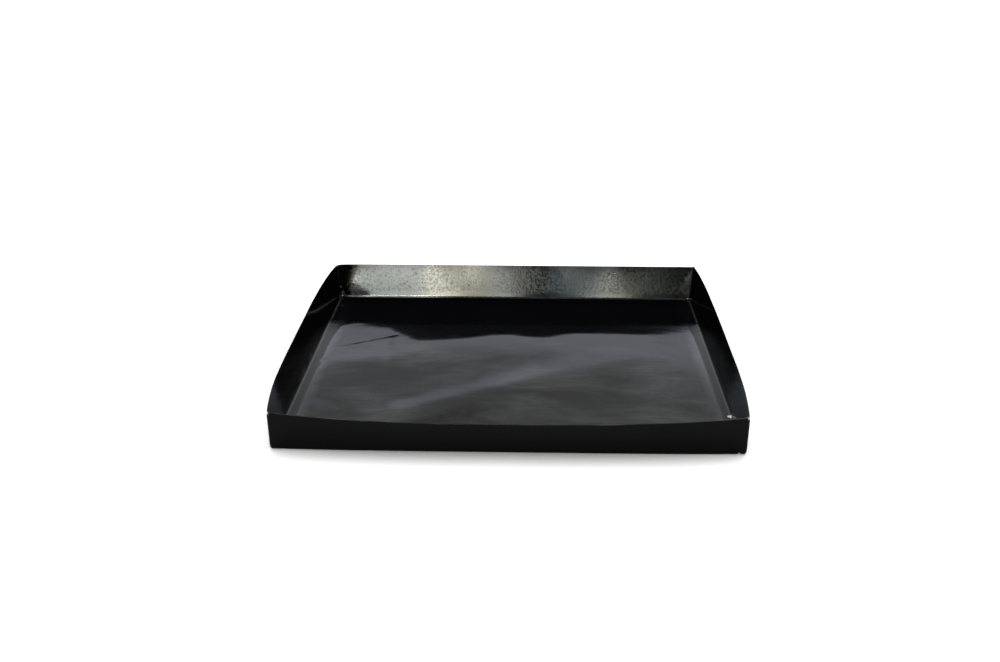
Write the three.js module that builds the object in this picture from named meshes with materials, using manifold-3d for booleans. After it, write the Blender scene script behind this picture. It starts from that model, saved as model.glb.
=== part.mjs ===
// Shallow square oil drain pan, folded out of one sheet of thin black steel.
//
// The blank is a cross: a square floor with a wall on each side. The walls are folded up, the
// two wall ends that meet at a corner are joined by a vertical weld bead, and a weld plug closes
// the relief hole where two folds and the floor meet. The rims are raw sheet, so between the
// stiff corners each wall leans outwards and its rim bows.
//
// Millimetres, +Z up, -Y is the front. The origin is the middle of the bounding box, on the
// surface that the pan stands on.
import * as THREE from "three";
import { mergeVertices } from "three/addons/utils/BufferGeometryUtils.js";
import Module from "manifold-3d";

const wasm = await Module();
wasm.setup();

const DEGREE = Math.PI / 180;

// The sheet
const floorSize = 600; // between the outer faces of opposite walls, measured at the folds
const wallHeight = 56.6; // of a wall that stands upright
const sheetThickness = 1.2;
const foldRadius = 3.2; // outer radius of the folds

// How far each wall leans outwards, in degrees: at its two ends, and what its middle adds.
// The start is the end at -X or -Y. A settling of 1 turns the lean evenly from start to end, and
// one near 0 turns it next to the start. A higher flatness spreads the bulge towards the ends.
// The fold bow is how far the middle of the fold line stands out from its ends.
const walls = {
  front: { startLean: 12, endLean: 12, settling: 1, bulge: 15, flatness: 3, foldBow: 3.5 },
  back: { startLean: 1, endLean: 14, settling: 0.15, bulge: 0, flatness: 3, foldBow: 0 },
  left: { startLean: -1, endLean: 6, settling: 1, bulge: 12, flatness: 4, foldBow: 1 },
  right: { startLean: -1, endLean: 6, settling: 1, bulge: 9.5, flatness: 4, foldBow: 0 },
};
const foldBowFlatness = 4; // a higher number keeps the bow level nearer to the corners

// The welds
const seamRadius = 1.6; // of the bead that joins two wall ends
const seamRimSetback = 1.5; // the bead stops this far below the rims
const plugLength = 6.8; // along the corner's diagonal
const plugWidth = 2.4;
const plugHeight = 2.8;
const weldGap = 0.3; // clearance between a weld and the sheet or another weld

// How finely the curved stretches are divided
const wallColumns = 24;
const foldSteps = 6;
const wallSteps = 3;
const seamSides = 16;
const plugSegments = 16;

// Derived sizes
const flatSize = floorSize - 2 * foldRadius; // the floor between the fold lines
const flatHalf = flatSize / 2;
const middleRadius = foldRadius - sheetThickness / 2; // of a fold, in the middle of the sheet
const uprightFoldRun = (middleRadius * Math.PI) / 2; // sheet used up by a right-angled fold
const wallRun = uprightFoldRun + wallHeight - foldRadius; // sheet from a fold line to the rim

const blackSteel = new THREE.MeshStandardMaterial({
  color: 0x1d1f22,
  roughness: 0.32,
  metalness: 0.7,
});
const weldMetal = new THREE.MeshStandardMaterial({
  color: 0x4a4a48,
  roughness: 0.45,
  metalness: 0.9,
});

// Lean of a wall in radians, at a place from -1 (its start) to 1 (its end).
function leanAt(wall, place) {
  const turned = ((place + 1) / 2) ** wall.settling;
  const ends = THREE.MathUtils.lerp(wall.startLean, wall.endLean, turned);
  const middle = wall.bulge * (1 - Math.abs(place) ** wall.flatness);
  return (ends + middle) * DEGREE;
}

// How far the fold line of a wall stands out from the straight line between its ends.
function foldBowAt(wall, place) {
  return wall.foldBow * (1 - Math.abs(place) ** foldBowFlatness);
}

// The wall on one side (-1 or 1) of an axis (0 for X, 1 for Y).
function wallAt(axis, side) {
  if (axis === 0) return side < 0 ? walls.left : walls.right;
  return side < 0 ? walls.front : walls.back;
}

// Length of the straight part of a wall between its fold and a point `run` along the sheet.
function straightPart(run, lean) {
  return Math.max(0, run - middleRadius * (Math.PI / 2 - lean));
}

// Cross-section of a fold and its wall. `run` is the distance along the sheet from the fold
// line and `depth` the distance into the sheet from its outer face.
function foldSection(run, depth, lean) {
  const foldAngle = Math.min(run / middleRadius, Math.PI / 2 - lean);
  const radius = foldRadius - depth;
  const straight = straightPart(run, lean);
  return {
    out: radius * Math.sin(foldAngle) + straight * Math.sin(lean),
    up: foldRadius - radius * Math.cos(foldAngle) + straight * Math.cos(lean),
  };
}

// Distances along the sheet, from the middle of the pan, at which a strip has a line of points.
function stripStops() {
  const oneSide = [0];
  for (let i = 1; i <= foldSteps; i++) oneSide.push((uprightFoldRun * i) / foldSteps);
  const wallPart = wallRun - uprightFoldRun;
  for (let i = 1; i <= wallSteps; i++) oneSide.push(uprightFoldRun + (wallPart * i) / wallSteps);
  const positive = oneSide.map((run) => flatHalf + run);
  return [...positive.map((stop) => -stop).reverse(), ...positive];
}

// A strip of the blank, folded: a wall, the floor and the opposite wall. It runs along `axis`
// and is as wide as the floor. Each wall end follows the lean of the wall that it meets.
function foldedStrip(axis) {
  const acrossAxis = 1 - axis;
  const stops = stripStops();
  const lastStop = stops.length - 1;
  const size = axis === 0 ? [lastStop, flatSize] : [flatSize, lastStop];
  const steps = axis === 0 ? [lastStop, wallColumns] : [wallColumns, lastStop];
  const strip = new THREE.BoxGeometry(...size, sheetThickness, ...steps, 1);
  const position = strip.getAttribute("position");
  const point = new THREE.Vector3();
  for (let i = 0; i < position.count; i++) {
    point.fromBufferAttribute(position, i);
    const stop = stops[Math.round(point.getComponent(axis) + lastStop / 2)];
    const across = point.getComponent(acrossAxis);
    const side = Math.sign(stop);
    const run = Math.max(0, Math.abs(stop) - flatHalf);
    const place = across / flatHalf;
    const wall = wallAt(axis, side);
    const section = foldSection(run, point.z + sheetThickness / 2, leanAt(wall, place));
    const neighbourLean = leanAt(wallAt(acrossAxis, Math.sign(place)), side);
    const flare = straightPart(run, neighbourLean) * Math.sin(neighbourLean);
    point.setComponent(axis, side * (flatHalf + section.out + foldBowAt(wall, place)));
    point.setComponent(acrossAxis, place * (flatHalf + flare));
    point.z = section.up;
    position.setXYZ(i, point.x, point.y, point.z);
  }
  return strip;
}

// A closed geometry as a solid of the boolean library.
function asSolid(geometry) {
  const bare = geometry.clone();
  bare.deleteAttribute("normal");
  bare.deleteAttribute("uv");
  const merged = mergeVertices(bare, 1e-4);
  return new wasm.Manifold(
    new wasm.Mesh({
      numProp: 3,
      vertProperties: new Float32Array(merged.getAttribute("position").array),
      triVerts: new Uint32Array(merged.index.array),
    }),
  );
}

function asGeometry(solid) {
  const mesh = solid.getMesh();
  const geometry = new THREE.BufferGeometry();
  geometry.setAttribute("position", new THREE.BufferAttribute(mesh.vertProperties, 3));
  geometry.setIndex(new THREE.BufferAttribute(mesh.triVerts, 1));
  geometry.computeVertexNormals();
  return geometry;
}

// The whole sheet: the two strips cross and share the floor.
function makeSheet() {
  const sheet = asSolid(foldedStrip(0)).add(asSolid(foldedStrip(1)));
  const mesh = new THREE.Mesh(asGeometry(sheet), blackSteel);
  mesh.name = "folded_sheet";
  return mesh;
}

// The vertical weld bead of the corner on the given sides of X and Y, in the gap between the
// two wall ends, from above the plug to just below the lower of the two rims.
function makeCornerSeam(name, sideX, sideY) {
  const leanX = leanAt(wallAt(0, sideX), sideY);
  const leanY = leanAt(wallAt(1, sideY), sideX);
  const inset = seamRadius + weldGap;
  const bottom = sheetThickness + weldGap + plugHeight + weldGap;
  const rim = Math.min(foldSection(wallRun, 0, leanX).up, foldSection(wallRun, 0, leanY).up);
  const pointAt = (height) => {
    const rise = height - foldRadius;
    const x = flatHalf + inset + rise * Math.tan(leanX);
    const y = flatHalf + inset + rise * Math.tan(leanY);
    return new THREE.Vector3(sideX * x, sideY * y, height);
  };
  const path = new THREE.LineCurve3(pointAt(bottom), pointAt(rim - seamRimSetback));
  const circle = new THREE.Shape().absarc(0, 0, seamRadius, 0, 2 * Math.PI);
  const bead = new THREE.ExtrudeGeometry(circle, {
    steps: 1,
    curveSegments: seamSides,
    bevelEnabled: false,
    extrudePath: path,
  });
  const mesh = new THREE.Mesh(bead, weldMetal);
  mesh.name = "corner_seam_" + name;
  return mesh;
}

// The weld plug at the foot of the same corner: a bead across the relief hole.
function makeCornerPlug(name, sideX, sideY) {
  const bead = new THREE.SphereGeometry(0.5, plugSegments, plugSegments / 2);
  const mesh = new THREE.Mesh(bead, weldMetal);
  mesh.name = "corner_plug_" + name;
  mesh.scale.set(plugLength, plugWidth, plugHeight);
  mesh.rotation.z = Math.atan2(sideY, sideX);
  const middle = flatHalf + 0.15 * foldRadius;
  mesh.position.set(sideX * middle, sideY * middle, sheetThickness + weldGap + plugHeight / 2);
  return mesh;
}

const corners = [
  ["front_left", -1, -1],
  ["front_right", 1, -1],
  ["back_left", -1, 1],
  ["back_right", 1, 1],
];

const drainPan = new THREE.Group();
drainPan.add(makeSheet());
for (const corner of corners) {
  drainPan.add(makeCornerSeam(...corner));
  drainPan.add(makeCornerPlug(...corner));
}

// Move the origin to the middle of the footprint.
const middle = new THREE.Box3().setFromObject(drainPan).getCenter(new THREE.Vector3());
drainPan.position.set(-middle.x, -middle.y, 0);

export default drainPan;
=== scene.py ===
"""Looks for the oil drain pan: one folded sheet of thin black steel with welded corners.

The sheet is remade here as a fine mesh with what thin sheet does when it is folded and used: a
slightly crowned floor that falls to the back wall, with low ridges, dents and creases, and rippled
walls that lean out more between the corners than at them. The weld beads and plugs are remade with
their ripples and lumps. Everything is in metres, in the CAD frame: +Z up, -Y towards the front.
"""
import math

import bmesh
import bpy
import numpy as np
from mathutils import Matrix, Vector


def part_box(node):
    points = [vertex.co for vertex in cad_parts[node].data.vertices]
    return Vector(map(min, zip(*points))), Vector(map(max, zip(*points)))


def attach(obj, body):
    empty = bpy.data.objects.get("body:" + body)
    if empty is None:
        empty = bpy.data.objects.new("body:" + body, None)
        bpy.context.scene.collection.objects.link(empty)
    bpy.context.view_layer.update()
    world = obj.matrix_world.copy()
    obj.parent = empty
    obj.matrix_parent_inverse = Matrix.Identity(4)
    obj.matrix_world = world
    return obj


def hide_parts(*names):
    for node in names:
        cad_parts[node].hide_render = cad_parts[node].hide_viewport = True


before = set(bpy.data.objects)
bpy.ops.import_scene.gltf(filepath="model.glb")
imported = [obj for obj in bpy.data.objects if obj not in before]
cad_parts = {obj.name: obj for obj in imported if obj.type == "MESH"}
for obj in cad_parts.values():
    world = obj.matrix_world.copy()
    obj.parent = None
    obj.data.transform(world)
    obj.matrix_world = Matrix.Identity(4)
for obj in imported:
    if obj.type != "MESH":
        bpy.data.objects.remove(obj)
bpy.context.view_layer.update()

MM = 0.001

# ---------------------------------------------------------------- driving dimensions
FLOOR_SIZE = 600 * MM  # between the outer faces of opposite walls, measured at the folds
WALL_HEIGHT = 56.6 * MM
SHEET = 1.2 * MM
FOLD_RADIUS = 3.2 * MM
MIDDLE_RADIUS = FOLD_RADIUS - SHEET / 2
FLAT_HALF = FLOOR_SIZE / 2 - FOLD_RADIUS
UPRIGHT_FOLD_RUN = MIDDLE_RADIUS * math.pi / 2
RIM_TRIM = 0.03 * MM  # keeps the rippled rims inside the CAD box
WALL_RUN = UPRIGHT_FOLD_RUN + WALL_HEIGHT - FOLD_RADIUS - RIM_TRIM

CORNERS = {
    "front_left": (-1, -1),
    "front_right": (1, -1),
    "back_left": (-1, 1),
    "back_right": (1, 1),
}


def middle_of(node):
    """Middle of a CAD node's box."""
    low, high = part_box(node)
    return (low + high) / 2


# The floor's middle is the middle of the four corner plugs.
floor_middle = sum((middle_of("corner_plug_" + c) for c in CORNERS), Vector()) / len(CORNERS)
MIDDLE_X, MIDDLE_Y = floor_middle.x, floor_middle.y

# ---------------------------------------------------------------- walls
# Lean outwards in degrees at the start (-X or -Y) and end of each wall, what the middle adds and
# how far that spreads, how much less the lean is right at the start corner, how far the fold line
# bows out, and how far the rim curls back inwards.
WALLS = {
    "front": dict(start=12, end=12, bulge=15, flatness=3, held=0, bow=3.5 * MM, curl=0),
    "back": dict(start=13.0, end=14, bulge=0, flatness=3, held=12, bow=0, curl=0.9 * MM),
    "left": dict(start=-1, end=6, bulge=12, flatness=4, held=0, bow=1.0 * MM, curl=0),
    "right": dict(start=-1, end=6, bulge=9.5, flatness=4, held=0, bow=0, curl=0),
}
HELD_LENGTH = 8 * MM  # how far from a corner the corner's hold on the lean reaches
HELD_TAIL = 0.6  # below 1 the hold drops fast at first and then fades slowly
BOW_FLATNESS = 4
CORNER_REACH = 1.9 * MM  # how far a wall reaches past the floor's edge towards its neighbour
REACH_RUN = 0.6  # share of an upright fold's run over which that reach grows
WALL_RIPPLE = 0.25 * MM
RIPPLE_SPACING = 1.7  # metres between the stretches of the wave field that two walls take
RIPPLE_SLANT = 0.35  # below 1 the ripples run up the wall more than along it
RIPPLE_RISE = 1.2  # power of the ripples' growth from fold to rim
RIPPLE_END = 8  # a higher number keeps the ripples up nearer to the corners
CURL_RISE = 3  # power of the curl's growth from fold to rim


def wall_name(axis, side):
    """The wall on one side (-1 or 1) of an axis (0 for X, 1 for Y)."""
    names = (("left", "right"), ("front", "back"))
    return names[axis][0 if side < 0 else 1]


def lean_at(name, place):
    """Lean of a wall in radians at a place from -1 (its start) to 1 (its end)."""
    wall = WALLS[name]
    ends = wall["start"] + (wall["end"] - wall["start"]) * (place + 1) / 2
    middle = wall["bulge"] * (1 - np.abs(place) ** wall["flatness"])
    from_corner = np.maximum(0, place + 1) * FLAT_HALF
    held = wall["held"] * np.exp(-((from_corner / HELD_LENGTH) ** HELD_TAIL))
    return np.radians(ends + middle - held)


def bow_at(name, place):
    """How far a wall's fold line stands out from the straight line between its ends."""
    return WALLS[name]["bow"] * (1 - np.abs(place) ** BOW_FLATNESS)


def straight_part(run, lean):
    """Straight length of wall between its fold and a point `run` along the sheet."""
    return np.maximum(0, run - MIDDLE_RADIUS * (math.pi / 2 - lean))


def fold_section(run, depth, lean):
    """(out, up) of a point `run` along the sheet from the fold line, `depth` from the outer face."""
    angle = np.minimum(run / MIDDLE_RADIUS, math.pi / 2 - lean)
    radius = FOLD_RADIUS - depth
    straight = straight_part(run, lean)
    out = radius * np.sin(angle) + straight * np.sin(lean)
    up = FOLD_RADIUS - radius * np.cos(angle) + straight * np.cos(lean)
    return out, up


# ---------------------------------------------------------------- soft waves
def wave_set(seed, count, shortest, longest):
    """Random plane waves (direction, wave number, phase), the same at every run."""
    rng = np.random.default_rng(seed)
    angle = rng.uniform(0, 2 * math.pi, count)
    length = rng.uniform(shortest, longest, count)
    phase = rng.uniform(0, 2 * math.pi, count)
    number = 2 * math.pi / length
    return np.stack([np.cos(angle) * number, np.sin(angle) * number, phase], 1)


def waves(x, y, wave_list):
    """Sum of the waves at (x, y), about -1 to 1."""
    total = np.zeros_like(x)
    for kx, ky, phase in wave_list:
        total = total + np.sin(kx * x + ky * y + phase)
    return total / math.sqrt(len(wave_list))


def ridge(x, y, start, end, width, start_height, end_height):
    """A smooth ridge from start to end, whose height changes evenly on the way."""
    ax, ay = start
    dx, dy = end[0] - ax, end[1] - ay
    length = math.hypot(dx, dy)
    along = ((x - ax) * dx + (y - ay) * dy) / length**2
    away = ((x - ax) * dy - (y - ay) * dx) / length
    ends = np.exp(-((np.maximum(0, np.abs(along - 0.5) - 0.5) * length / width) ** 2))
    height = start_height + (end_height - start_height) * np.clip(along, 0, 1)
    return height * np.exp(-((away / width) ** 2)) * ends


# ---------------------------------------------------------------- the floor's shape
FLOOR_CROWN = 1.0 * MM
CROWN_POWER = 2.2
BACK_SLOPE = 0.020  # how steeply the floor falls to the back wall, beyond the knee line
KNEE_SOFTNESS = 4.5 * MM
FRONT_FADE_START = 0.2  # how far behind the middle that fall's lift starts to fade to the front
FRONT_FADE_POWER = 1.5
SIDE_FADE_POWER = 3.0
EDGE_POWER = 12  # a higher number keeps waves and ridges up nearer to the fold lines
FLOOR_WAVE = 0.018 * MM
floor_waves = wave_set(3, 14, 60 * MM, 220 * MM)
wall_waves = wave_set(5, 10, 90 * MM, 240 * MM)

# The knee line, where the floor starts to fall to the back wall, in mm from the floor's middle:
# how far back it lies at the left, and its steps on the way to the right (x, half width, change).
KNEE_LEFT = 195
KNEE_STEPS = (
    (-245, 28, -58),
    (-186, 6, -27),
    (-160, 12, -36),
    (-55, 40, 34),
    (12, 18, -18),
    (72, 20, 26),
    (250, 30, 24),
)

# Low ridges and swells (height over 0) and creases and dents (under 0) of the floor, in mm from
# its middle: start, end, width, height at the start and at the end.
FLOOR_RIDGES = (
    ((-130, -198), (225, 41), 45, 2.5, 0.35),
    ((-300, -12), (-170, 12), 50, 0.5, 0.4),
    ((-297, 50), (-240, 74), 4, -0.04, -0.05),
    ((-240, 74), (-185, 104), 5, -0.05, -0.13),
    ((-297, 171), (-270, 166), 5, -0.3, -0.1),
    ((-289, -22), (-281, 2), 4, -0.35, -0.35),
    ((268, -167), (274, -167), 4, -0.12, -0.12),
)


def knee_line(x):
    """Y of the knee line at x."""
    line = KNEE_LEFT
    for middle, half_width, change in KNEE_STEPS:
        line = line + change * (1 + np.tanh((x / MM - middle) / half_width)) / 2
    return line * MM


def back_fall(x, y):
    """Height over the back fold line of the stretch of floor that falls to it from the knee."""
    to_fold = FLAT_HALF - y
    past_knee = FLAT_HALF - knee_line(x)
    excess = to_fold - past_knee
    return BACK_SLOPE * (to_fold - KNEE_SOFTNESS * np.logaddexp(0, excess / KNEE_SOFTNESS))


def floor_lift(x, y):
    """Height of the floor over its fold lines: crown, soft waves, ridges, creases and dents."""
    px, py = x / FLAT_HALF, y / FLAT_HALF
    inside = (1 - np.abs(px) ** EDGE_POWER) * (1 - np.abs(py) ** EDGE_POWER)
    crown = (1 - np.abs(px) ** CROWN_POWER) * (1 - np.abs(py) ** CROWN_POWER)
    to_front = np.clip(FRONT_FADE_START - py, 0, 2) / (1 + FRONT_FADE_START)
    front_fade = 1 - to_front**FRONT_FADE_POWER
    side_fade = 1 - np.abs(px) ** SIDE_FADE_POWER
    lift = FLOOR_CROWN * crown + back_fall(x, y) * front_fade * side_fade
    lift = lift + FLOOR_WAVE * waves(x, y, floor_waves) * inside
    for start, end, width, *heights in FLOOR_RIDGES:
        lift = lift + ridge(x / MM, y / MM, start, end, width, *heights) * MM * inside
    return lift


def wall_offset(name, place, run):
    """How far a wall stands out of its straight section: soft ripples, and the rim's curl."""
    share = np.clip(run / WALL_RUN, 0, 1)
    ripple_shift = list(WALLS).index(name) * RIPPLE_SPACING
    ripple = waves(place * FLAT_HALF + ripple_shift, RIPPLE_SLANT * run, wall_waves)
    ripple = WALL_RIPPLE * ripple * share**RIPPLE_RISE * (1 - place**RIPPLE_END)
    return ripple - WALLS[name]["curl"] * share**CURL_RISE


# ---------------------------------------------------------------- the sheet
FLOOR_CELLS = 150
FOLD_CELLS = 8
WALL_CELLS = 10
SHEET_SHARP = 40  # degrees between faces, above which an edge of the sheet is shown sharp
EDGE_ROUND = 0.22 * MM  # rounding of the sheared edges
EDGE_ROUND_SEGMENTS = 2
EDGE_ROUND_ANGLE = 50  # degrees between faces, above which an edge is rounded
RAW_EDGE = "raw_edge"  # mesh attribute: 1 on the faces of the sheared edges


def blank_stops():
    """Grid lines of the blank along one axis, from rim to rim, in metres from its middle."""
    fold = FLAT_HALF + UPRIGHT_FOLD_RUN * np.arange(1, FOLD_CELLS + 1) / FOLD_CELLS
    wall_part = WALL_RUN - UPRIGHT_FOLD_RUN
    wall = fold[-1] + wall_part * np.arange(1, WALL_CELLS + 1) / WALL_CELLS
    side = np.concatenate([fold, wall])
    floor = np.linspace(-FLAT_HALF, FLAT_HALF, FLOOR_CELLS + 1)
    return np.concatenate([-side[::-1], floor, side])


def corner_reach(run):
    """How far the end of a wall reaches past the floor's edge, `run` along the sheet."""
    share = np.clip(run / (REACH_RUN * UPRIGHT_FOLD_RUN), 0, 1)
    return CORNER_REACH * share * share * (3 - 2 * share)


def fold_blank(u, v, depth):
    """Where the points (u, v) of the flat blank end up once it is folded."""
    blank = (u, v)
    place = (np.clip(u / FLAT_HALF, -1, 1), np.clip(v / FLAT_HALF, -1, 1))
    slack = FLAT_HALF * 1e-9
    spot = [u.copy(), v.copy()]
    z = depth + floor_lift(place[0] * FLAT_HALF, place[1] * FLAT_HALF)
    floor = (np.abs(u) <= FLAT_HALF + slack) & (np.abs(v) <= FLAT_HALF + slack)
    for axis in (0, 1):
        across = 1 - axis
        at = place[across]
        for side in (-1, 1):
            name = wall_name(axis, side)
            on = side * blank[axis] > FLAT_HALF + slack
            run = np.where(on, side * blank[axis] - FLAT_HALF, 0.0)
            lean = lean_at(name, at)
            out, up = fold_section(run, depth, lean)
            offset = wall_offset(name, at, run)
            out = out + offset * np.cos(lean) + bow_at(name, at)
            up = up - offset * np.sin(lean)
            neighbour = np.where(
                at < 0,
                lean_at(wall_name(across, -1), float(side)),
                lean_at(wall_name(across, 1), float(side)),
            )
            flare = straight_part(run, neighbour) * np.sin(neighbour)
            spot[axis] = np.where(on, side * (FLAT_HALF + out), spot[axis])
            spot[across] = np.where(on, at * (FLAT_HALF + flare + corner_reach(run)), spot[across])
            z = np.where(on, up, z)
            # The floor follows the bowed fold line.
            near = np.clip(side * place[axis], 0, 1) ** 2
            spot[axis] = np.where(floor, spot[axis] + side * bow_at(name, at) * near, spot[axis])
    return np.stack([spot[0] + MIDDLE_X, spot[1] + MIDDLE_Y, z], -1)


def build_sheet():
    """The folded sheet as one closed mesh: an outer layer, an inner layer and the raw edges."""
    stops = blank_stops()
    count = len(stops)
    u, v = np.meshgrid(stops, stops, indexing="ij")
    layers = [fold_blank(u, v, depth) for depth in (0.0, SHEET)]
    first, last = FOLD_CELLS + WALL_CELLS, FOLD_CELLS + WALL_CELLS + FLOOR_CELLS

    def on_floor(i):
        return first <= i < last

    cells = {
        (i, j)
        for i in range(count - 1)
        for j in range(count - 1)
        if on_floor(i) or on_floor(j)
    }
    points, index, faces, on_edge = [], {}, [], []

    def point(i, j, layer):
        key = (i, j, layer)
        if key not in index:
            index[key] = len(points)
            points.append(layers[layer][i, j])
        return index[key]

    for i, j in sorted(cells):
        ring = [(i, j), (i + 1, j), (i + 1, j + 1), (i, j + 1)]
        faces.append([point(a, b, 1) for a, b in ring])
        faces.append([point(a, b, 0) for a, b in reversed(ring)])
        on_edge += [0.0, 0.0]
        beyond = [(i, j - 1), (i + 1, j), (i, j + 1), (i - 1, j)]
        for k in range(4):
            if beyond[k] not in cells:
                a, b = ring[k], ring[(k + 1) % 4]
                faces.append([point(*a, 0), point(*b, 0), point(*b, 1), point(*a, 1)])
                on_edge.append(1.0)
    mesh = bpy.data.meshes.new("folded_sheet_skin")
    mesh.from_pydata([tuple(p) for p in points], [], faces)
    mesh.attributes.new(RAW_EDGE, "FLOAT", "FACE").data.foreach_set("value", on_edge)
    sheet = add_object(mesh)
    shade_smooth(sheet, SHEET_SHARP)
    edge_round = sheet.modifiers.new("raw_edge", "BEVEL")
    edge_round.width = EDGE_ROUND
    edge_round.segments = EDGE_ROUND_SEGMENTS
    edge_round.limit_method = "ANGLE"
    edge_round.angle_limit = math.radians(EDGE_ROUND_ANGLE)
    return sheet


def add_object(mesh):
    """A new object with this mesh, linked to the scene."""
    piece = bpy.data.objects.new(mesh.name, mesh)
    bpy.context.scene.collection.objects.link(piece)
    return piece


def shade_smooth(piece, sharp_degrees):
    """Smooth shading that breaks at edges sharper than an angle."""
    piece.data.shade_smooth()
    piece.data.set_sharp_from_angle(angle=math.radians(sharp_degrees))


# ---------------------------------------------------------------- welds
BEAD_RADIUS = 1.35 * MM
BEAD_SHIFT = 0.4 * MM  # the visible bead lies this much further out than its CAD stand-in
BEAD_FOOT = 1.6 * MM  # height of the bead's lowest middle
BEAD_TURN_IN = 1.6 * MM  # how far the foot curves in under the corner
TURN_IN_HEIGHT = 1.2 * MM
BEAD_END = 2 * MM  # height of the CAD bead's end that its end points are averaged over
BEAD_ROWS = 150
BEAD_SIDES = 20
BEAD_SHARP = 60  # degrees, as for the sheet
BEAD_CLEARANCE = 0.2 * MM  # the bead's rings never sag below this height
RIPPLE_PITCH = 2.4 * MM
RIPPLE_SWELL = 0.1  # how much thicker a ripple is in its middle, as a share of the radius
RIPPLE_LAG = 0.35  # how far a ripple sags on its outer side, as a share of the pitch
TIP_POWER = 40  # a higher number makes the rounded ends of the bead shorter
TIP_LEAST = 0.02

PLUG_HALF_LENGTH = 3.4 * MM  # along the corner's diagonal
PLUG_HALF_WIDTH = 2.0 * MM
PLUG_SHARP = 80  # degrees, as for the sheet
PLUG_SUBDIVISIONS = 4
LUMP_DEPTH = 0.07
LUMPS_ALONG, LUMPS_ACROSS = 9, 5  # wave numbers of the lumps on the round blank of the plug


def bead_path(corner):
    """Points up the middle of a corner's bead, from its foot to its top."""
    co = np.array([v.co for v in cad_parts["corner_seam_" + corner].data.vertices])
    low = co[co[:, 2] < co[:, 2].min() + BEAD_END].mean(0)
    high = co[co[:, 2] > co[:, 2].max() - BEAD_END].mean(0)
    sides = np.array(CORNERS[corner] + (0,), float)
    height = np.linspace(BEAD_FOOT, high[2], BEAD_ROWS)
    share = (height - low[2]) / (high[2] - low[2])
    path = low + share[:, None] * (high - low)
    turn_in = np.exp(-(height - BEAD_FOOT) / TURN_IN_HEIGHT)
    return path + sides * (BEAD_SHIFT - BEAD_TURN_IN * turn_in)[:, None]


def build_seam(corner):
    """The vertical weld bead of a corner: overlapping ripples from its foot to the rims."""
    path = bead_path(corner)
    side_x, side_y = CORNERS[corner]
    outward = np.array([side_x, side_y, 0]) / math.sqrt(2)
    sideways = np.array([-side_y, side_x, 0]) / math.sqrt(2)
    upward = np.array([0, 0, 1.0])
    bm = bmesh.new()
    rows = []
    for i, middle in enumerate(path):
        t = i / (len(path) - 1)
        phase = (middle[2] / RIPPLE_PITCH) % 1.0
        swell = 1 - RIPPLE_SWELL + RIPPLE_SWELL * math.sqrt(1 - (2 * phase - 1) ** 2)
        tip = math.sqrt(max(TIP_LEAST, 1 - abs(2 * t - 1) ** TIP_POWER))
        row = []
        for k in range(BEAD_SIDES):
            turn = 2 * math.pi * k / BEAD_SIDES
            radius = BEAD_RADIUS * swell * tip
            lag = RIPPLE_LAG * RIPPLE_PITCH * math.cos(turn) * tip * (0 < t < 1)
            sag = min(lag, middle[2] - BEAD_CLEARANCE)
            offset = radius * (outward * math.cos(turn) + sideways * math.sin(turn))
            row.append(bm.verts.new(middle + offset - upward * sag))
        rows.append(row)
    for a, b in zip(rows, rows[1:]):
        for k in range(BEAD_SIDES):
            after = (k + 1) % BEAD_SIDES
            bm.faces.new((a[k], a[after], b[after], b[k]))
    bm.faces.new(reversed(rows[0]))
    bm.faces.new(rows[-1])
    bmesh.ops.recalc_face_normals(bm, faces=bm.faces)
    bead = add_object(mesh_from(bm, "corner_seam_bead_" + corner))
    shade_smooth(bead, BEAD_SHARP)
    return bead


def build_plug(corner):
    """The weld plug at the foot of a corner: a lumpy bead across the relief hole."""
    low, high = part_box("corner_plug_" + corner)
    middle = (low + high) / 2
    side_x, side_y = CORNERS[corner]
    diagonal = Vector((side_x, side_y, 0)).normalized()
    sideways = Vector((-diagonal.y, diagonal.x, 0))
    half_height = (high.z - low.z) / 2
    bm = bmesh.new()
    bmesh.ops.create_icosphere(bm, subdivisions=PLUG_SUBDIVISIONS, radius=1)
    for vert in bm.verts:
        p = vert.co.copy()
        bumpy = math.sin(LUMPS_ALONG * p.x + 2 * side_x) * math.cos(LUMPS_ACROSS * p.y + side_y)
        place = diagonal * (p.x * PLUG_HALF_LENGTH) + sideways * (p.y * PLUG_HALF_WIDTH)
        place += Vector((0, 0, p.z * half_height))
        vert.co = middle + place * (1 - LUMP_DEPTH * (1 + bumpy))
    plug = add_object(mesh_from(bm, "corner_plug_bead_" + corner))
    shade_smooth(plug, PLUG_SHARP)
    return plug


def mesh_from(bm, name):
    """The finished mesh of a bmesh, which is freed."""
    mesh = bpy.data.meshes.new(name)
    bm.to_mesh(mesh)
    bm.free()
    return mesh


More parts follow.
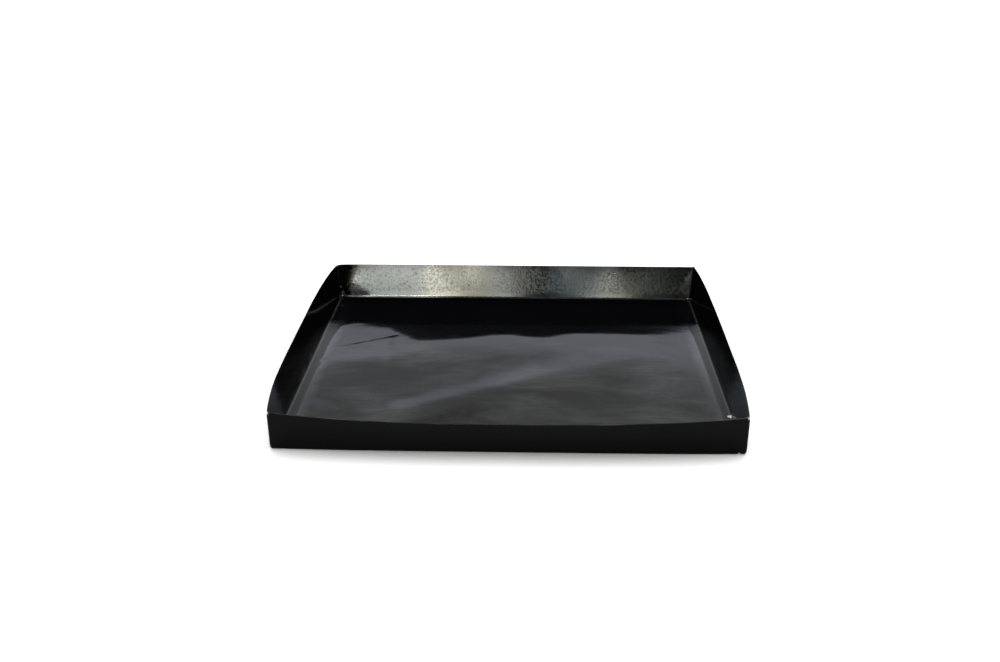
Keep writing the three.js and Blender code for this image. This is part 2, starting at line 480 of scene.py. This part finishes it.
# ---------------------------------------------------------------- node helper
class Nodes:
    """Adds and links the nodes of one material or world."""

    def __init__(self, tree):
        """Starts with an empty node tree."""
        self.tree = tree
        tree.nodes.clear()

    def feed(self, socket, value):
        """Links a socket to the input, or sets its value."""
        if isinstance(value, bpy.types.NodeSocket):
            self.tree.links.new(value, socket)
        else:
            socket.default_value = value

    def add(self, kind, settings=None, **inputs):
        """A new node with its settings and inputs. Input names have _ for a space."""
        node = self.tree.nodes.new(kind)
        for key, value in (settings or {}).items():
            setattr(node, key, value)
        for key, value in inputs.items():
            self.feed(node.inputs[key.replace("_", " ")], value)
        return node

    def place(self):
        """Where the surface is, in metres in the CAD frame."""
        return self.add("ShaderNodeTexCoord").outputs["Object"]

    def facing(self, way):
        """1 where the surface faces a way, 0 where it faces away from it."""
        normal = self.add("ShaderNodeTexCoord").outputs["Normal"]
        return self.math("GREATER_THAN", self.vector("DOT_PRODUCT", normal, way), 0.0)

    def noise(self, vector, scale, detail=3.0, roughness=0.5, distortion=0.0, squeeze=None):
        """Noise of a scale per metre, lengthened along the axes whose squeeze is under 1."""
        if squeeze:
            vector = self.vector("MULTIPLY", vector, squeeze)
        node = self.add("ShaderNodeTexNoise", Vector=vector, Scale=scale, Detail=detail,
                        Roughness=roughness, Distortion=distortion)
        return node.outputs["Fac"]

    def mix(self, factor, a, b):
        """Colour a where the factor is 0, and b where it is 1."""
        node = self.add("ShaderNodeMix", {"data_type": "RGBA"})
        for number, value in ((0, factor), (6, a), (7, b)):  # inputs by place: names repeat
            self.feed(node.inputs[number], value)
        return node.outputs[2]

    def remap(self, value, low, high, to_low=0.0, to_high=1.0, kind="LINEAR"):
        """The value taken from low..high to to_low..to_high, and held level beyond them."""
        node = self.add("ShaderNodeMapRange", {"interpolation_type": kind}, Value=value,
                        From_Min=low, From_Max=high, To_Min=to_low, To_Max=to_high)
        return node.outputs["Result"]

    def math(self, operation, a, b=0.0):
        """Math on two numbers, or on the first alone."""
        node = self.add("ShaderNodeMath", {"operation": operation})
        self.feed(node.inputs[0], a)
        self.feed(node.inputs[1], b)
        return node.outputs[0]

    def vector(self, operation, a, b):
        """Vector math. For SCALE, b is the factor."""
        node = self.add("ShaderNodeVectorMath", {"operation": operation})
        self.feed(node.inputs[0], a)
        self.feed(node.inputs["Scale" if operation == "SCALE" else 1], b)
        return node.outputs["Value" if operation in ("DOT_PRODUCT", "DISTANCE") else "Vector"]


def new_material(name):
    """A new material and the helper for its nodes."""
    material = bpy.data.materials.new(name)
    material.use_nodes = True
    return material, Nodes(material.node_tree)


def set_surface(n, shader):
    """Makes a shader the surface of its material."""
    output = n.add("ShaderNodeOutputMaterial")
    n.feed(output.inputs["Surface"], shader.outputs["BSDF"])


# ---------------------------------------------------------------- materials
# Noise patterns of the black steel
SMUDGES = dict(scale=9.0, detail=4.0, roughness=0.55, distortion=0.6)
CLOUDS = dict(scale=26.0, detail=5.0, roughness=0.6, distortion=0.3)
STIPPLE = dict(scale=240.0, detail=4.0, roughness=0.7)
GRAIN = dict(scale=330.0, detail=3.0, roughness=0.6)
STREAKS = dict(scale=260.0, detail=2.0, roughness=0.6, squeeze=(1.0, 1.0, 0.08))
MOTTLE = dict(scale=34.0, detail=6.0, roughness=0.62, distortion=0.4, squeeze=(0.6, 1.0, 1.0))
PATCHES = dict(scale=13.0, detail=5.0, roughness=0.6, distortion=0.5, squeeze=(0.55, 1.0, 1.0))
WIPES = dict(scale=160.0, detail=3.0, roughness=0.6, squeeze=(0.12, 1.0, 1.0))
FILM_AND_SHEEN_OUTLINE = dict(scale=20.0, detail=3.0)
STRIP_OUTLINE = dict(scale=45.0, detail=4.0)
SPOT_OUTLINE = dict(scale=900.0, detail=3.0)
FOLD_WEAR = dict(scale=90.0, detail=3.0)
EDGE_RUB = dict(scale=16.0, detail=4.0, roughness=0.6)

# Black steel, colours and roughness
BLUE_BLACK = (0.0006, 0.0007, 0.0012, 1)
BLACK = (0.0014, 0.0014, 0.0015, 1)
# grey of the floor's film: dust and dried oil, and also painted sheen
FILM_AND_SHEEN_GREY = (0.044, 0.045, 0.047, 1)
BARE_STEEL = (0.55, 0.55, 0.54, 1)
SMUDGE_SHARE, CLOUD_SHARE = 0.6, 0.4  # of both in how the roughness varies
GLOSS_LEVELS = 0.35, 0.65, 0.035, 0.06  # noise from and to, roughness from and to
STIPPLE_LEVELS = 0.42, 0.68, 0.0, 0.13  # the same, for what the walls' stipple adds
BARE_ROUGHNESS = 0.25  # added where the steel is bare
STEEL_IOR = 1.12
WALL_FOOT, WALL_CLEAR = 6 * MM, 12 * MM  # heights between which the walls' own grain sets in

# Black steel, relief
WALL_RELIEF = 0.012 * MM
FLOOR_RELIEF = 0.06 * MM

# Weld metal: dark and bright colour, least roughness
WELD_SCALE = dict(scale=500.0, detail=4.0, roughness=0.6)
WELD_SKIN = dict(scale=2200.0, detail=2.0, roughness=0.5)
SEAM_WELD = (0.006, 0.006, 0.007, 1), (0.02, 0.02, 0.02, 1), 0.4
BARE_WELD = (0.12, 0.12, 0.12, 1), (0.4, 0.4, 0.4, 1), 0.3
WELD_TONES = 0.35, 0.65  # noise from and to, for the dark and the bright colour
WELD_ROUGHENS = 0.3, 0.7  # noise from and to, for the least and the most roughness
WELD_ROUGHER = 0.2
WELD_RELIEF = 0.1 * MM
WELD_RELIEF_STRENGTH = 0.3

# Bare spots and rubbed sheared edges
TOP_SPOT_RADIUS = 4 * MM
TACK_HEIGHT, TACK_RADIUS = 18 * MM, 2.4 * MM
FOOT_SPOT_INSET, FOOT_SPOT_HEIGHT, FOOT_SPOT_RADIUS = 6 * MM, 2 * MM, 2.6 * MM
FOLD_SPOT = MIDDLE_Y - 187 * MM, 2 * MM  # y and z of the bare spot inside the right fold
FOLD_SPOT_RADIUS = 5 * MM
SPOT_EDGE = 1 * MM  # how softly a spot ends
SPOT_RAGGED = 3 * MM  # how unevenly
EDGE_RUB_LEVELS = 0.46, 0.62, 0.01, 0.06  # noise from and to, bareness from and to

# Light scratches on the back wall, in mm: x from the middle and height of both ends, strength.
BACK_SCRATCHES = (
    ((156, 34), (168, 43), 0.06),
    ((166, 42), (180, 47), 0.10),
    ((170, 36), (177, 39), 0.05),
)
SCRATCH_WIDTH = 0.9 * MM
SCRATCH_FULL = 0.6  # share of a scratch's half length with its full strength

# Worn folds
WORN_SHIFT = 0.8 * MM  # from the fold line to the middle of the worn line, outwards
WORN_WIDTH = 1.8 * MM
WORN_FULL = 0.4  # share of that width that is fully worn
WORN_HEIGHT = 3 * MM, 4.5 * MM  # where it fades out up the fold
WORN_LEVELS = 0.3, 0.6, 0.4, 1.0  # noise from and to, share of the wear from and to
SIDE_WEAR, BACK_WEAR = 0.035, 0.42
CORNER_WEAR = 0.05  # share of the back fold's wear that is left at the left corner
WORN_START = 6 * MM, 18 * MM  # from the left corner: where the rest sets in
WORN_FADE = -160 * MM, -100 * MM  # from the middle: where it fades to the side folds' wear

# Film on the floor: dust and dried oil, and partly painted sheen, its grey patches and strips
# standing in for the floor's glossy reflection
PATCH_LEVELS = 0.40, 0.66  # noise from and to, for no film and full patches
WIPE_LEVELS = 0.3, 0.6, 0.3, 0.55  # noise from and to, share of the patches from and to
FILM_AND_SHEEN_END = 80 * MM, 160 * MM  # behind the middle: where the wiped patches fade out
FILM_AND_SHEEN_RAGGED = 120 * MM
STRIP_EDGE = 22 * MM, 6 * MM  # from the side folds: where their strip of film sets in
STRIP_RAGGED = 14 * MM
STRIP_HEIGHT = 2.5 * MM, 4.5 * MM  # where it fades out up the fold
STRIP_FRONT = -150 * MM, 40 * MM, 0.5, 0.9  # behind the middle from and to, film from and to
STRIP_BACK = 120 * MM, 180 * MM, 1.0, 0.02  # the same, for the back end of the strips

# Matt white of the stage
STAGE_CLOUDS = dict(scale=1.5, detail=2.0, roughness=0.5)
STAGE_WHITES = (0.90, 0.90, 0.90, 1), (0.89, 0.89, 0.89, 1)
STAGE_ROUGHNESS = 0.9


def seam_top(corner):
    """Where the raw rims of two walls meet, at the top of a corner."""
    low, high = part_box("corner_seam_" + corner)
    side_x, side_y = CORNERS[corner]
    return (high.x if side_x > 0 else low.x, high.y if side_y > 0 else low.y, high.z)


def bare_spots():
    """(middle, radius) of the spots where bare metal shows at the corners: tops, a tack, a foot."""
    spots = [(seam_top(corner), TOP_SPOT_RADIUS) for corner in ("front_left", "front_right")]
    reach = FLAT_HALF + CORNER_REACH
    tack = (MIDDLE_X - reach, MIDDLE_Y + reach, TACK_HEIGHT)
    foot = (MIDDLE_X + FLAT_HALF - FOOT_SPOT_INSET, MIDDLE_Y - reach, FOOT_SPOT_HEIGHT)
    spots.append((tack, TACK_RADIUS))
    spots.append((foot, FOOT_SPOT_RADIUS))
    return spots


def bare_spot(n, place, ragged, middle, radius):
    """1 in a ragged spot of bare metal, 0 outside it."""
    away = n.math("ADD", n.vector("DISTANCE", place, middle), ragged)
    return n.remap(away, radius, radius + SPOT_EDGE, 1.0, 0.0)


def scratches(n, place):
    """How bare the steel is on the inner face of the back wall where it is scratched."""
    on_back = n.math("GREATER_THAN", n.vector("DOT_PRODUCT", place, (0, 1, 0)), MIDDLE_Y + FLAT_HALF)
    on_back = n.math("MULTIPLY", on_back, n.facing((0, -1, 0)))
    total = 0.0
    for (x0, z0), (x1, z1), strength in BACK_SCRATCHES:
        middle = Vector((MIDDLE_X + (x0 + x1) / 2 * MM, 0, (z0 + z1) / 2 * MM))
        half = math.hypot(x1 - x0, z1 - z0) / 2 * MM
        way = Vector((x1 - x0, 0, z1 - z0)).normalized()
        side = Vector((-way.z, 0, way.x))
        local = n.vector("SUBTRACT", place, middle)
        along = n.math("ABSOLUTE", n.vector("DOT_PRODUCT", local, way))
        away = n.math("ABSOLUTE", n.vector("DOT_PRODUCT", local, side))
        inside = n.remap(along, SCRATCH_FULL * half, half, strength, 0.0)
        inside = n.math("MULTIPLY", inside, n.remap(away, 0.0, SCRATCH_WIDTH, 1.0, 0.0))
        total = n.math("MAXIMUM", total, inside)
    return n.math("MULTIPLY", total, on_back)


def product(n, *amounts):
    """All the amounts multiplied."""
    total = amounts[0]
    for amount in amounts[1:]:
        total = n.math("MULTIPLY", total, amount)
    return total


def wiped_film_and_painted_sheen(n, place, along, walls):
    """Wiped patches of film on the floor, partly painted sheen, which end in a ragged line behind its
    middle.
    """
    bumps = n.math("MULTIPLY", n.noise(place, **FILM_AND_SHEEN_OUTLINE), FILM_AND_SHEEN_RAGGED)
    ragged = n.math("ADD", along, bumps)
    end_start, end_stop = (MIDDLE_Y + far for far in FILM_AND_SHEEN_END)
    return product(
        n,
        n.remap(n.noise(place, **PATCHES), *PATCH_LEVELS),
        n.remap(n.noise(place, **WIPES), *WIPE_LEVELS),
        n.remap(ragged, end_start, end_stop, 1.0, 0.0),
        n.math("SUBTRACT", 1.0, walls),
    )


def side_film_and_painted_sheen(n, place, across, along, height):
    """Strips of film along the side folds, partly painted sheen, with an uneven edge on the floor."""
    from_middle = n.math("ABSOLUTE", n.math("SUBTRACT", across, MIDDLE_X))
    bumps = n.math("MULTIPLY", n.noise(place, **STRIP_OUTLINE), STRIP_RAGGED)
    uneven = n.math("ADD", from_middle, bumps)
    front_start, front_stop, *front_amounts = STRIP_FRONT
    back_start, back_stop, *back_amounts = STRIP_BACK
    return product(
        n,
        n.remap(uneven, FLAT_HALF - STRIP_EDGE[0], FLAT_HALF - STRIP_EDGE[1]),
        n.remap(height, *STRIP_HEIGHT, 1.0, 0.0),
        n.remap(along, MIDDLE_Y + front_start, MIDDLE_Y + front_stop, *front_amounts),
        n.remap(along, MIDDLE_Y + back_start, MIDDLE_Y + back_stop, *back_amounts),
    )


def floor_film_and_painted_sheen(n, place, across, along, height, walls):
    """How much dust and dried oil lies on the floor, and how much sheen is painted there in grey:
    wiped patches, and more along the side folds.
    """
    wiped = wiped_film_and_painted_sheen(n, place, along, walls)
    by_fold = side_film_and_painted_sheen(n, place, across, along, height)
    return n.math("MULTIPLY", n.math("MAXIMUM", wiped, by_fold), n.facing((0, 0, 1)))


def worn_folds(n, place, across, along, height):
    """How bare the steel is along the inside of the folds: most at the left of the back one."""
    fold_line = FLAT_HALF + WORN_SHIFT
    from_middle = n.math("ABSOLUTE", n.math("SUBTRACT", across, MIDDLE_X))
    off_side = n.math("ABSOLUTE", n.math("SUBTRACT", from_middle, fold_line))
    off_back = n.math("ABSOLUTE", n.math("SUBTRACT", along, MIDDLE_Y + fold_line))
    side = n.remap(off_side, WORN_FULL * WORN_WIDTH, WORN_WIDTH, SIDE_WEAR, 0.0)
    left_end = MIDDLE_X - FLAT_HALF
    back = product(
        n,
        n.remap(off_back, WORN_FULL * WORN_WIDTH, WORN_WIDTH, 1.0, 0.0),
        n.remap(across, left_end + WORN_START[0], left_end + WORN_START[1], CORNER_WEAR, 1.0),
        n.remap(across, MIDDLE_X + WORN_FADE[0], MIDDLE_X + WORN_FADE[1], BACK_WEAR, SIDE_WEAR),
    )
    return product(
        n,
        n.math("MAXIMUM", side, back),
        n.remap(n.noise(place, **FOLD_WEAR), *WORN_LEVELS),
        n.remap(height, *WORN_HEIGHT, 1.0, 0.0),
        n.facing((0, 0, 1)),
    )


def bare_steel(n, place, across, along, height):
    """How bare the steel is anywhere: spots, scratches, worn folds and rubbed sheared edges."""
    ragged = n.math("MULTIPLY", n.noise(place, **SPOT_OUTLINE), SPOT_RAGGED)
    bare = bare_spot(n, place, ragged, (MIDDLE_X + FLAT_HALF, *FOLD_SPOT), FOLD_SPOT_RADIUS)
    bare = n.math("MULTIPLY", bare, n.facing((0, 0, 1)))
    for middle, radius in bare_spots():
        bare = n.math("MAXIMUM", bare, bare_spot(n, place, ragged, middle, radius))
    bare = n.math("MAXIMUM", bare, scratches(n, place))
    bare = n.math("MAXIMUM", bare, worn_folds(n, place, across, along, height))
    edge = n.add("ShaderNodeAttribute", {"attribute_name": RAW_EDGE}).outputs["Fac"]
    rubbed = n.remap(n.noise(place, **EDGE_RUB), *EDGE_RUB_LEVELS)
    return n.math("MAXIMUM", bare, n.math("MULTIPLY", edge, rubbed))


def steel_relief(n, place, walls):
    """Bump of the steel: fine grain and upright streaks on the walls, soft mottle on the floor."""
    fine = n.math("ADD", n.noise(place, **GRAIN), n.noise(place, **STREAKS))
    wall_height = n.math("MULTIPLY", fine, n.math("MULTIPLY", walls, WALL_RELIEF / MM))
    floor_height = n.math("MULTIPLY", n.noise(place, **MOTTLE), FLOOR_RELIEF / MM)
    surface = n.add("ShaderNodeBump", Strength=1.0, Distance=1 * MM,
                    Height=n.math("ADD", wall_height, floor_height))
    return surface.outputs["Normal"]


def black_steel():
    """Thin black-finished steel: dark and glossy, with smudges, fine grain and worn spots."""
    material, n = new_material("black_steel")
    place = n.place()
    across, along, height = n.add("ShaderNodeSeparateXYZ", Vector=place).outputs
    walls = n.remap(height, WALL_FOOT, WALL_CLEAR)
    smudges = n.noise(place, **SMUDGES)
    paint = n.mix(smudges, BLUE_BLACK, BLACK)
    # grey film on the floor: partly dust and dried oil, partly painted sheen
    paint = n.mix(floor_film_and_painted_sheen(n, place, across, along, height, walls), paint, FILM_AND_SHEEN_GREY)
    clouds = n.math("MULTIPLY", n.noise(place, **CLOUDS), CLOUD_SHARE)
    spread = n.math("ADD", n.math("MULTIPLY", smudges, SMUDGE_SHARE), clouds)
    gloss = n.remap(spread, *GLOSS_LEVELS)
    stipple = n.remap(n.noise(place, **STIPPLE), *STIPPLE_LEVELS)
    gloss = n.math("ADD", gloss, n.math("MULTIPLY", stipple, walls))
    bare = bare_steel(n, place, across, along, height)
    base = n.mix(bare, paint, BARE_STEEL)
    roughness = n.math("ADD", gloss, n.math("MULTIPLY", bare, BARE_ROUGHNESS))
    shader = n.add("ShaderNodeBsdfPrincipled", Base_Color=base, Roughness=roughness,
                   Metallic=bare, IOR=STEEL_IOR, Normal=steel_relief(n, place, walls))
    set_surface(n, shader)
    return material


def weld_metal(name, dark, bright, least_roughness):
    """Weld metal: steel from dark scale to bright, with a fine rough skin."""
    material, n = new_material(name)
    place = n.place()
    scale = n.noise(place, **WELD_SCALE)
    base = n.mix(n.remap(scale, *WELD_TONES), dark, bright)
    most_roughness = least_roughness + WELD_ROUGHER
    roughness = n.remap(scale, *WELD_ROUGHENS, least_roughness, most_roughness)
    surface = n.add("ShaderNodeBump", Strength=WELD_RELIEF_STRENGTH, Distance=WELD_RELIEF,
                    Height=n.noise(place, **WELD_SKIN))
    shader = n.add("ShaderNodeBsdfPrincipled", Base_Color=base, Roughness=roughness,
                   Metallic=1.0, Normal=surface.outputs["Normal"])
    set_surface(n, shader)
    return material


def stage_white():
    """Matt white of the floor that the pan stands on."""
    material, n = new_material("stage_white")
    base = n.mix(n.noise(n.place(), **STAGE_CLOUDS), *STAGE_WHITES)
    shader = n.add("ShaderNodeBsdfPrincipled", Base_Color=base, Roughness=STAGE_ROUGHNESS)
    set_surface(n, shader)
    return material


# ---------------------------------------------------------------- pieces
def add_piece(piece, material, node):
    """Puts a piece in the frame: its material, its body and the CAD node it stands for."""
    piece.data.materials.append(material)
    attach(piece, "root")
    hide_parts(node)


def place_pieces():
    """The sheet, and the bead and plug of every corner."""
    add_piece(build_sheet(), black_steel(), "folded_sheet")
    seam_weld = weld_metal("seam_weld", *SEAM_WELD)
    bare_weld = weld_metal("bare_weld", *BARE_WELD)
    for corner in CORNERS:
        add_piece(build_seam(corner), seam_weld, "corner_seam_" + corner)
        add_piece(build_plug(corner), bare_weld, "corner_plug_" + corner)


# ---------------------------------------------------------------- studio
STAGE_HALF = 30.0
STAGE_DROP = 0.2 * MM
SURROUND = 0.006  # radiance of the studio away from its lights
SKY_TILT = 10.0  # degrees that the middle of the sky leans to the back
SKY_INNER, SKY_OUTER = 38.0, 46.0  # degrees from its middle, between which it fades out
SKY_RADIANCE = 2.8

# The panel behind the pan: elevation in degrees, radiance, colour.
BACK_PANEL = (
    (19.0, 0.0, (0.92, 0.97, 1.08)),
    (19.35, 2.1, (0.92, 0.97, 1.08)),
    (20.9, 2.1, (0.93, 0.97, 1.08)),
    (22.2, 1.25, (0.96, 0.99, 1.03)),
    (25.0, 1.25, (0.99, 1.0, 0.98)),
    (28.0, 1.4, (0.99, 1.0, 0.97)),
    (34.0, 1.0, (1.0, 1.0, 1.0)),
    (40.0, 0.2, (1.0, 1.0, 1.0)),
)
BACK_PANEL_EDGES = 24.0, 30.0  # degrees either side, between which it fades out

SOFTBOX_EDGE = 3.0  # a higher number makes the edges of the softboxes harder

# Softboxes: (azimuth from the front, elevation) and (half width, half height) in degrees,
# radiance, colour. Small bright ones low in front, and wide dim ones high in front and aside.
SOFTBOXES = (
    ((-5.9, 5.6), (2.05, 3.0), 132.0, (0.96, 1.02, 0.97)),
    ((-4.0, 6.3), (0.9, 3.1), 185.0, (1.08, 1.05, 0.82)),
    ((-2.5, 6.5), (0.6, 3.2), 74.0, (1.04, 1.04, 0.82)),
    ((-1.3, 6.7), (0.8, 3.2), 88.0, (1.0, 1.03, 0.95)),
    ((2.2, 8.0), (0.75, 3.0), 14.0, (0.74, 0.98, 1.10)),
    ((3.4, 8.0), (0.8, 3.0), 78.0, (1.0, 1.03, 0.93)),
    ((4.4, 8.0), (0.45, 3.0), 42.0, (1.05, 1.04, 0.72)),
    ((3.6, 9.5), (3.3, 4.2), 7.0, (0.9, 1.0, 1.03)),
    ((0, 30), (50, 13), 1.3, (1.0, 1.0, 1.0)),
    ((95, 28), (52, 14), 1.8, (1.0, 1.0, 1.0)),
    ((-95, 28), (52, 14), 1.4, (0.97, 1.0, 1.03)),
)


def add_stage():
    """A plain white floor just under the pan."""
    corners = [(x * STAGE_HALF, y * STAGE_HALF, 0) for x, y in ((-1, -1), (1, -1), (1, 1), (-1, 1))]
    mesh = bpy.data.meshes.new("stage_floor")
    mesh.from_pydata(corners, [], [(0, 1, 2, 3)])
    mesh.materials.append(stage_white())
    floor = add_object(mesh)
    floor.location.z = -STAGE_DROP


def add_glow(n, total, amount, radiance, colour):
    """The total light with one more light in it."""
    light = n.vector("SCALE", tuple(radiance * c for c in colour), amount)
    return n.vector("ADD", total, light)


def panel_light(n, elevation, from_back):
    """Light of the panel behind the pan: bands of elevation, faded out at the panel's sides."""
    total = (0.0, 0.0, 0.0)
    for lower, upper in zip(BACK_PANEL, BACK_PANEL[1:]):
        low, low_radiance, low_colour = lower
        high, high_radiance, high_colour = upper
        rise = n.remap(elevation, low, high)
        step = tuple(
            high_radiance * b - low_radiance * a for a, b in zip(low_colour, high_colour)
        )
        total = n.vector("ADD", total, n.vector("SCALE", step, rise))
    window = n.remap(n.math("ABSOLUTE", from_back), *BACK_PANEL_EDGES, 1.0, 0.0, "SMOOTHSTEP")
    return n.vector("SCALE", total, window)


def softbox_amount(n, azimuth, elevation, at, size):
    """1 inside a softbox and 0 far from it, with a soft edge."""
    across = n.math("DIVIDE", n.math("SUBTRACT", azimuth, at[0]), size[0])
    up = n.math("DIVIDE", n.math("SUBTRACT", elevation, at[1]), size[1])
    away = n.math("ADD", n.math("POWER", n.math("ABSOLUTE", across), SOFTBOX_EDGE),
                  n.math("POWER", n.math("ABSOLUTE", up), SOFTBOX_EDGE))
    return n.math("EXPONENT", n.math("MULTIPLY", away, -1.0))


def add_world():
    """The studio's light: a dim surround, a wide sky, a panel behind and softboxes around."""
    world = bpy.data.worlds.new("studio")
    bpy.context.scene.world = world
    world.use_nodes = True
    n = Nodes(world.node_tree)
    toward = n.add("ShaderNodeTexCoord").outputs["Generated"]
    x, y, z = n.add("ShaderNodeSeparateXYZ", Vector=toward).outputs
    elevation = n.math("DEGREES", n.math("ARCSINE", z))
    from_back = n.math("DEGREES", n.math("ARCTAN2", x, y))
    from_front = n.math("DEGREES", n.math("ARCTAN2", x, n.math("MULTIPLY", y, -1.0)))

    tilt = math.radians(SKY_TILT)
    from_sky = n.vector("DOT_PRODUCT", toward, (0, math.sin(tilt), math.cos(tilt)))
    sky = n.remap(n.math("DEGREES", n.math("ARCCOSINE", from_sky)), SKY_INNER, SKY_OUTER, 1.0, 0.0,
                  "SMOOTHSTEP")
    light = add_glow(n, (SURROUND,) * 3, sky, SKY_RADIANCE, (1.0, 1.0, 1.0))
    light = n.vector("ADD", light, panel_light(n, elevation, from_back))
    for at, size, radiance, colour in SOFTBOXES:
        amount = softbox_amount(n, from_front, elevation, at, size)
        light = add_glow(n, light, amount, radiance, colour)

    seen = n.add("ShaderNodeLightPath").outputs["Is Camera Ray"]
    shown = n.mix(seen, light, (1.0, 1.0, 1.0, 1.0))
    background = n.add("ShaderNodeBackground", Color=shown)
    output = n.add("ShaderNodeOutputWorld")
    n.feed(output.inputs["Surface"], background.outputs["Background"])


SENSOR_WIDTH = 36.0
FOCAL_RATIO = 1.2214  # focal length over sensor width
CAMERA_OFFSET = Vector((0.0282, -1.6897, 0.6792))  # from the floor's middle
CAMERA_ANGLES = -1.544, -20.387, -0.019  # yaw to the right, pitch up and roll, in degrees


def add_camera():
    """The camera, in front of the pan and above it."""
    data = bpy.data.cameras.new("camera")
    data.sensor_width = SENSOR_WIDTH
    data.lens = SENSOR_WIDTH * FOCAL_RATIO
    camera = bpy.data.objects.new("camera", data)
    bpy.context.scene.collection.objects.link(camera)
    camera.location = Vector((MIDDLE_X, MIDDLE_Y, 0)) + CAMERA_OFFSET
    yaw, pitch, roll = (math.radians(angle) for angle in CAMERA_ANGLES)
    camera.rotation_euler = (math.pi / 2 + pitch, roll, -yaw)
    bpy.context.scene.camera = camera


place_pieces()
add_stage()
add_world()
add_camera()
bpy.context.scene.view_settings.view_transform = "Standard"
